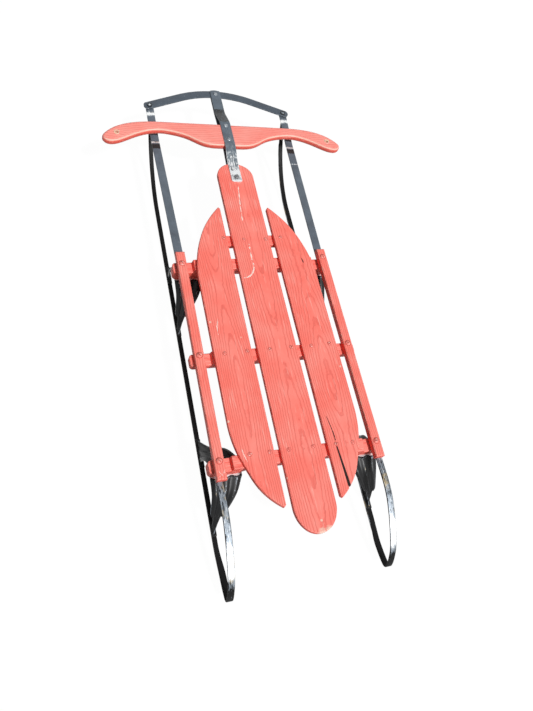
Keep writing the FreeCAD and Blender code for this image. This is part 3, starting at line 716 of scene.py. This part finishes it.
for end, bench in (("front", benchFront), ("rear", benchRear)):
    for side, sign in sides:
        where = "_%s_%s" % (end, side)
        knee = addPiece("flutedKnee" + where, kneeSkins(bench[1][1], bench[0][2], kneeSizes["fore"][end]),
                        blackEnamel, "frame", ["knee" + where], sign < 0)
print("knees made")


# Steering straps: a pair of flat bars, over and under board, steering bar and bumper
steerSizes = {"w": 25, "t": 2.5, "corner": 0.7, "bendSoft": 3.5, "onBar": 86, "offBar": 157, "rise": 38,
              "fall": 46, "gap": 0.4, "rearR": 5}
# worn up to steps ahead of the pivot (wear, end, fade in mm): dull sheen, silver, bare rear end; bare
# round the nut too, edges rubbed most where it is silver, and a dark stretch ahead of the bar
steerWear = {"steps": [(0.22, 146, 40), (0.16, 75, 50), (0.5, -6, 3)], "nut": (0.5, 14, 5),
             "edge": 0.3, "edgeSilver": 0.5, "edgeTo": 90, "dark": 0.7, "darkFrom": 149, "darkTo": 217}


def steeringStrap(rearZ, barZ, frontZ, wearTop):
    # a rounded bar swept along a softened line: board, up onto the bar, down onto the bow
    s, w = steerSizes, steerWear
    corners = [(0, pivotY - s["w"] / 2, rearZ), (0, pivotY + s["onBar"] - s["rise"], rearZ),
               (0, pivotY + s["onBar"], barZ), (0, pivotY + s["offBar"], barZ),
               (0, pivotY + s["offBar"] + s["fall"], frontZ), (0, bumperHigh[1], frontZ)]
    path = soften(corners, 1.5, s["bendSoft"])
    section = barSection(s["w"], s["t"], s["corner"])
    # square rear end with corners rounded by rearR: half width w / 2 - r + sqrt(r^2 - (r - d)^2)
    r = s["rearR"]
    away = np.clip(path[:, 1] - path[0, 1], 0.02, r)
    share = (s["w"] / 2 - r + np.sqrt(r ** 2 - (r - away) ** 2)) / (s["w"] / 2)
    grid = sweep(path, section, np.array([-1.0, 0, 0]), share * endWidths(path, 3, start=False))
    along = path[:, 1] - pivotY
    sheen = sum(worn * smoothStep((end - along) / fade) for worn, end, fade in w["steps"])
    sheen += w["nut"][0] * bell(along, *w["nut"][1:])
    sheen -= w["dark"] * smoothStep((along - w["darkFrom"]) / 16) * smoothStep((w["darkTo"] - along) / 4)
    edge = w["edge"] + w["edgeSilver"] * smoothStep((w["edgeTo"] - along) / 30)
    return tube(grid, wearTop * (edge[:, None] * edgeShare(section, s["w"]) + sheen[:, None]))


# half a strap's thickness, and the gap that keeps it clear of wood and bow
halfStrap = steerSizes["t"] / 2
gap = steerSizes["gap"]
upper = steeringStrap(deckTop + gap + halfStrap, barHigh[2] + halfStrap,
                      bumperHigh[2] + gap + halfStrap, 1.0)
lower = steeringStrap(boardUnder - gap - halfStrap, barLow[2] - halfStrap,
                      bumperLow[2] - gap - halfStrap, 0.5)
for name, skin, node in (("steeringStrapOver", upper, "steering_strap_upper"),
                         ("steeringStrapUnder", lower, "steering_strap_lower")):
    addPiece(name, [skin], darkEnamel, "steering", [node])

# Bumper: flat bow, an arc in the middle with straight arms
bowSizes = {"w": 21, "t": 3, "corner": 0.8, "arcR": 243, "arcDeg": 21.74, "apex": 266.5, "pastPin": 14,
            "endR": 9.5, "edgeWear": 0.3, "pinWear": 0.1, "pinWearWide": 12}


def bowSkin():
    # plan: x = R sin a, y = apex - R (1 - cos a), then straight arms past the pins
    s = bowSizes
    turn = math.radians(s["arcDeg"])
    a = np.linspace(turn, -turn, 60)
    cy = pivotY + s["apex"] - s["arcR"]
    arc = np.stack([s["arcR"] * np.sin(a), cy + s["arcR"] * np.cos(a)], -1)
    reach = (pinX - arc[0, 0]) / math.cos(turn) + s["pastPin"]
    tip = arc[0] + np.array([math.cos(turn), -math.sin(turn)]) * reach
    plan = resample(np.concatenate([[tip], arc, [tip * [-1, 1]]]), 2)
    path = xyz(*plan.T, (bumperLow[2] + bumperHigh[2]) / 2)
    section = barSection(s["w"], s["t"], s["corner"])
    nearPin = bell(np.abs(path[:, 0]), pinX, s["pinWearWide"])
    wear = s["edgeWear"] * edgeShare(section, s["w"]) + s["pinWear"] * nearPin[:, None]
    return tube(sweep(path, section, width=endWidths(path, s["endR"])), wear)


addPiece("bumperBow", [bowSkin()], bowEnamel, "bumper", ["bumper"])
print("steering steel made")


# Rivets, the pivot bolt with its square nut, and rolled eyelets
fastenerSizes = {"rivetR": 5.4, "rivetH": 2.6, "shankR": 3, "pinR": 6.4, "pinH": 2.4, "pinHollow": 3.9,
                 "nutW": 10, "nutH": 4, "nutHole": 0.5, "nutTurn": 0.35, "boltR": 3, "boltEnd": 2,
                 "washerR": 8, "washerH": 2.5, "rivetsBack": (50.5, 8), "bumperRivet": 264,
                 "eyeletIn": 32.5, "eyeletBack": 39.8, "bore": 3.5, "eyeletOut": 5.5, "eyeletLip": 6.7,
                 "eyeletProud": 0.8}
f = fastenerSizes
barFront = barHigh[1]
underZ = boardUnder - 2 * gap - 2 * halfStrap
nutZ = deckTop + 2 * gap + 2 * halfStrap


def rivetSkins(x, y, low, high, r, h):
    # domed heads at both ends of a turned shank
    head = dome(r, h, 0.5)
    shank = [(f["shankR"], low), (f["shankR"], high)]
    return [tube(lathe(head, x, y, high)), tube(lathe(head, x, y, low, flip=-1)), tube(lathe(shank, x, y, 0))]


def hollowHead(x, y, z, r, h, hollow):
    # set by a punch: h(r) rises to a rolled ring, then falls to a hollow; the wear darkens the ring, painted
    # shade, and brightens the hollow, a painted highlight
    t = np.linspace(0, math.pi, 11)
    roll = np.stack([(r + hollow) / 2 + (r - hollow) / 2 * np.cos(t), 0.5 + (h - 0.5) * np.sin(t)], -1)
    grid = lathe(np.concatenate([[(r, 0)], roll, [(0.8 * hollow, 0.45), (0.15 * hollow, 0.4)]]), x, y, z)
    paintedShadeAndHighlight = np.concatenate([[-0.9], 0.7 * np.sin(t) ** 4 - 0.9, [0.5, 0.9]])
    return tube(grid, np.broadcast_to(paintedShadeAndHighlight[:, None], grid.shape[:2]))


rivets = []
for y, low, high in ((barFront - f["rivetsBack"][0], barLow[2], barHigh[2]),
                     (barFront - f["rivetsBack"][1], barLow[2], barHigh[2]),
                     (pivotY + f["bumperRivet"], bumperLow[2] - gap, bumperHigh[2] + gap)):
    rivets += rivetSkins(0, y, low - 2 * halfStrap, high + 2 * halfStrap, f["rivetR"], f["rivetH"])
addPiece("steeringRivets", rivets, rivetSteel, "steering", ["steering_rivets"])
pinTop = bumperHigh[2] + gap
for side, sign in sides:
    pin = rivetSkins(pinX, pinY, runnerHigh[2] - runnerSizes["flangeT"], pinTop, f["pinR"], f["pinH"])
    pin[0] = hollowHead(pinX, pinY, pinTop, f["pinR"], f["pinH"], f["pinHollow"])
    addPiece("bumperPin_" + side, pin, darkEnamel, side + "_nose", ["bumper_pin_" + side],
                     sign < 0)


def nutSkin(r, rows, x, y, z, turn=0.0, flip=1):
    # an outline r(a), drawn up through rows of its share and height
    a = circle(len(r)) + turn
    k, h = np.array(rows).T[:, :, None]
    return tube(xyz(x + r * k * np.cos(a), y + r * k * np.sin(a), z + flip * h))


def squareNut(x, y, z):
    # |x|^9 + |y|^9 = (w / 2)^9 gives the square with softened corners; rows chamfer the top
    a = circle(64)
    r = (np.abs(np.cos(a)) ** 9 + np.abs(np.sin(a)) ** 9) ** (-1 / 9) * f["nutW"] / 2
    h = f["nutH"]
    rows = [(1, 0), (1, h - 0.9), (0.93, h - 0.3), (0.8, h), (f["nutHole"], h)]
    return nutSkin(r, rows, x, y, z, f["nutTurn"])


boltTop = f["nutH"] + f["boltEnd"]
boltRows = [(f["boltR"], underZ - nutZ), (f["boltR"], boltTop - 0.5), (f["boltR"] - 0.6, boltTop)]
boltSkins = [squareNut(0, pivotY, nutZ), tube(lathe(boltRows, 0, pivotY, nutZ)),
             tube(lathe(dome(f["washerR"], f["washerH"], 0.6), 0, pivotY, underZ, flip=-1))]
addPiece("pivotBoltAndNut", boltSkins, zinc, "frame", ["pivot_bolt"])


def eyeletSkin(x):
    # a tube whose ends are rolled outwards, its closed profile turned round the hole's axis
    lip, proud = f["eyeletLip"], f["eyeletProud"]
    low, high = barLow[2], barHigh[2]
    t = np.linspace(0, math.pi, 9)
    midR = (f["bore"] + lip) / 2
    roll = np.stack([midR - (lip - f["bore"]) / 2 * np.cos(t), high + proud * np.sin(t)], -1)
    under = np.stack([midR + (lip - f["bore"]) / 2 * np.cos(t), low - proud * np.sin(t)], -1)
    wall = [(f["eyeletOut"], high - 0.1), (f["eyeletOut"], low + 0.1)]
    return ring(lathe(np.concatenate([roll, wall, under]), x, barFront - f["eyeletBack"], 0, 40))


eyeX = barHigh[0] - f["eyeletIn"]
eyelets = addPiece("ropeEyelets", [eyeletSkin(-eyeX), eyeletSkin(eyeX)], brass, "steering", ["rope_eyelets"])
print("fasteners made")


# Wood screws and bolts: slotted heads, painted over with the deck
screwSizes = {"r": 3.7, "h": 0.8, "slotW": 0.9, "slotDeep": 0.6, "boltR": 5.6, "boltH": 2.7, "socket": 1.25,
              "boltNutW": 10, "boltNutH": 4.5,
              "middle": [(-111, -10.5), (-64.6, -9.3), (-16.3, -9), (30.4, -8), (75.8, -8.4), (116.4, -6.5)],
              "rear": [(-102.7, -217.2), (-63.3, -218.1), (-25.7, -218.6), (24.1, -218.7), (72.8, -220),
                       (108.5, -221.1)],
              "cleat": [(-61.6, 262.4), (-15.9, 257.6), (34.1, 257.7), (70.6, 262.3)],
              "railBolts": {-1: (202.8, -8.9, -220.9), 1: (210.4, -7.4, -224)}}
s = screwSizes
railTop = railHigh[2]


def slottedHead(x, y, z, r, h, angle):
    # z = h sqrt(1 - (d/r)^2) less the slot, a band of width slotW through the middle
    d = np.concatenate([[1.0, 1.0], np.linspace(0.97, 0.06, 9)])[:, None] * r
    a = circle(32)
    u = d * np.cos(a)
    v = d * np.sin(a)
    lift = h * np.sqrt(np.clip(1 - (d / r) ** 2, 0, 1)) + 0.25
    cut = s["slotDeep"] * smoothStep((s["slotW"] - np.abs(v)) / (0.4 * s["slotW"])) * (d < 0.9 * r)
    top = np.maximum(lift - cut, 0.02)
    top[0] = -0.4
    c, q = math.cos(angle), math.sin(angle)
    return tube(xyz(x + c * u - q * v, y + q * u + c * v, z + top))


def socketSkin(x, y, z, r):
    # a dark red ring round a driven head, painted shade of its countersink: a low bead from socket * r in to
    # r / 2
    bead = [(s["socket"] * r, -0.3), (s["socket"] * r, 0.02), (1.12 * r, 0.16), (0.96 * r, 0.12),
            (0.5 * r, 0.05)]
    return tube(lathe(bead, x, y, z))


def slotSkin(x, y, z, r, h, angle):
    # a dark bar laid in the slot, which stops short of the head's rim and below its crown
    ends = np.array([[math.cos(angle), math.sin(angle), 0]]) * 0.72 * r * np.array([[-1], [-0.3], [0.3], [1]])
    return tube(sweep(ends + [x, y, z + h - 0.16], barSection(s["slotW"], 0.3, 0.1, 1)))


# rows (x, station, seat, radius, height, slot's angle)
screws = [(x, y, deckTop, s["r"], s["h"], 0.7 * n + x)
          for n, (x, y) in enumerate(s["middle"] + s["rear"] + s["cleat"])]
bolts = [(sign * railX, y, railTop, s["boltR"], s["boltH"], 0.8 * y)
         for sign, stations in s["railBolts"].items() for y in stations]
for name, shape, rows, material in (("deckScrews", slottedHead, screws, screwPaint),
                                    ("railBolts", slottedHead, bolts, screwPaint),
                                    ("screwSlots", slotSkin, screws + bolts, slotDarkening)):
    addPiece(name, [shape(*row) for row in rows], material, "frame")
addPiece("screwSocketShadeRings", [socketSkin(*row[:4]) for row in screws + bolts], socketShade, "frame")


def hexNut(x, y, z):
    # six-sided outline r(a) = apothem / cos(a mod 60 - 30), its corners turned off, chamfered below
    a = circle(48)
    apothem = s["boltNutW"] / 2
    r = np.minimum(apothem / np.cos(np.mod(a, math.pi / 3) - math.pi / 6), apothem * 1.13)
    h = s["boltNutH"]
    rows = [(1, -0.2), (1, h - 0.8), (0.9, h), (0.45, h), (0.4, h + 1.5)]
    return nutSkin(r, rows, x, y, z, flip=-1)


# nuts below the bolts that hold rail, strap, bench and knee together
nuts = []
for sign, stations in s["railBolts"].items():
    for y, bench in zip(stations, ("bench_front", "bench_middle", "bench_rear")):
        low = boxMm(bench)[0][2] - (0 if bench == "bench_middle" else kneeSizes["t"])
        nuts.append(hexNut(sign * railX, y, low))
addPiece("boltNuts", nuts, zinc, "frame")
print("screws made")


# Damage that the sled carries: scratches in the middle board, the split and its hairline, a dent
damage = {"long": [(0.1, 407), (-3.7, 373), (-6.4, 348), (-8.1, 326), (-9.7, 304)],
          "hook": [(-7.3, 246), (-8.3, 225), (-8.7, 207), (-8.5, 186), (-16.7, 169), (-27, 162),
                   (-36.4, 160)],
          "rubbed": [[(-111, 68), (-114.5, 50), (-116.8, 35)], [(-115.7, 62), (-116.5, 45), (-116.6, 30)],
                     [(-116.3, -205), (-113.6, -219), (-109.6, -231)]],
          "railEnd": [[(-166, -239), (-156.5, -253)], [(-167.5, -251), (-152.5, -242)],
                      [(-160.5, -236), (-164, -247)], [(-155, -238), (-158, -249)]],
          "hairline": [(66.8, -162), (70.1, -181.3), (72.3, -197), (73.2, -214)],
          "dent": [(106.5, 206), (108, 200), (108.6, 193)],
          "split": [(72.3, -221, 1.3), (73.7, -243, 1.8), (75.5, -269, 2.4), (77.4, -303, 3.0)],
          "splitBelow": (-0.02, 8.6)}


def splitSkin():
    # a dark fill in the split, painted shade where light can't reach into it, a little wider than the split
    # so
    # that it meets the wood: rows (x, station, half width) drawn down between two depths
    x, y, wide = np.array(damage["split"]).T
    high, low = (deckTop - d for d in damage["splitBelow"])
    corners = [(-wide, high), (wide, high), (wide, low), (-wide, low)]
    return tube(np.stack([xyz(x + aside, y, z) for aside, z in corners], 1))


def scratch(points, width, seed, gaps, z=deckTop, slim=1.0):
    # thin lens on the wood: width w(s) = w0 (0.7 + 0.6 noise), pinched where a slow noise falls to gaps,
    # and slim as a share at its start
    plan = resample(through(points, 10), 0.8)
    rng = np.random.default_rng(seed)
    rough = np.convolve(rng.random(len(plan) + 8), np.ones(9) / 9, "valid")
    share = np.clip((rough - gaps) * 6, 0.02, 1) * (0.7 + 0.6 * rng.random(len(plan)))
    share *= np.linspace(slim, 1, len(plan))
    path = xyz(*plan.T, z - 0.01)
    return tube(sweep(path, barSection(width, 0.12, 0.05, 2), width=share * endWidths(path, 6)))


addPiece("boardScratches", [scratch(damage["long"], 2.6, 3, 0.40), scratch(damage["hook"], 3.0, 8, 0.34)]
         + [scratch(line, 1.2, 11 + n, 0.38) for n, line in enumerate(damage["rubbed"])]
         + [scratch(line, 1.0, 21 + n, 0.42, railTop) for n, line in enumerate(damage["railEnd"])],
         bareWood, "frame")
addPiece("splitHairline", [scratch(damage["hairline"], 2.5, 5, -1, slim=0.4),
                           scratch(damage["dent"], 2.2, 6, -1)], crackDark, "frame")
addPiece("splitPaintedShade", [splitSkin()], crackDark, "frame")
print("damage made")


# Stage: pale floor, soft light, camera at the photograph's angle
stage = {"floor": "#8C8C8C", "floorSize": 12.0, "floorGlow": 0.86, "glow": 1.14, "world": 0.14, "sun": 3.34,
         "sunSoftDeg": 6, "sunFrom": (0.28, -0.64, 1.0)}
view = {"at": (-438.5, -486.1, 1184.3), "aim": (-26.63, -22.42, 134.0), "rollDeg": 32.77,
        "focalPx": 610.1, "framePx": 711, "sensorMm": 36, "nearM": 0.05}
white = (1, 1, 1, 1)
scene = bpy.context.scene


def seenDirectly(tree):
    # 1 for rays from the camera, from a mirror or through glass, 0 for those that light the sled
    rays = addNode(tree, "LightPath").outputs
    either = calc(tree, "MAXIMUM", rays["Is Camera Ray"], rays["Is Glossy Ray"])
    return calc(tree, "MAXIMUM", either, rays["Is Transmission Ray"])


floorMesh = bpy.data.meshes.new("paleFloor")
size = stage["floorSize"]
corners = [(-size, -size, 0), (size, -size, 0), (size, size, 0), (-size, size, 0)]
floorMesh.from_pydata(corners, [], [(0, 1, 2, 3)])
addObject("paleFloor", floorMesh)
floorMaterial, tree = newMaterial("matteFloor")
lit = calc(tree, "MULTIPLY", seenDirectly(tree), stage["floorGlow"])
matte = addNode(tree, "BsdfDiffuse", {"Color": linear(stage["floor"])})
glow = addNode(tree, "Emission", {"Color": white, "Strength": stage["glow"]})
finish(tree, addNode(tree, "MixShader", (lit, matte, glow)))
floorMesh.materials.append(floorMaterial)

world = bpy.data.worlds.new("softDaylight")
scene.world = world
world.use_nodes = True
tree = world.node_tree
tree.nodes.clear()
strength = calc(tree, "MAXIMUM", seenDirectly(tree), stage["world"])
sky = addNode(tree, "Background", {"Color": white, "Strength": strength})
addNode(tree, "OutputWorld", {"Surface": sky})

lamp = bpy.data.lights.new("keyLight", "SUN")
lamp.energy = stage["sun"]
lamp.angle = math.radians(stage["sunSoftDeg"])
key = addObject("keyLight", lamp)
key.rotation_euler = Vector(stage["sunFrom"]).to_track_quat("Z", "Y").to_euler()

lens = bpy.data.cameras.new("photoCamera")
lens.sensor_width = view["sensorMm"]
lens.lens = view["focalPx"] * view["sensorMm"] / view["framePx"]
lens.clip_start = view["nearM"]
camera = addObject("photoCamera", lens)
scene.camera = camera
eye, aim = metres([view["at"], view["aim"]])
look = Vector(aim - eye).to_track_quat("-Z", "Y") @ Quaternion((0, 0, 1), math.radians(view["rollDeg"]))
camera.location = eye
camera.rotation_euler = look.to_euler()
scene.view_settings.view_transform = "Standard"
print("stage set")
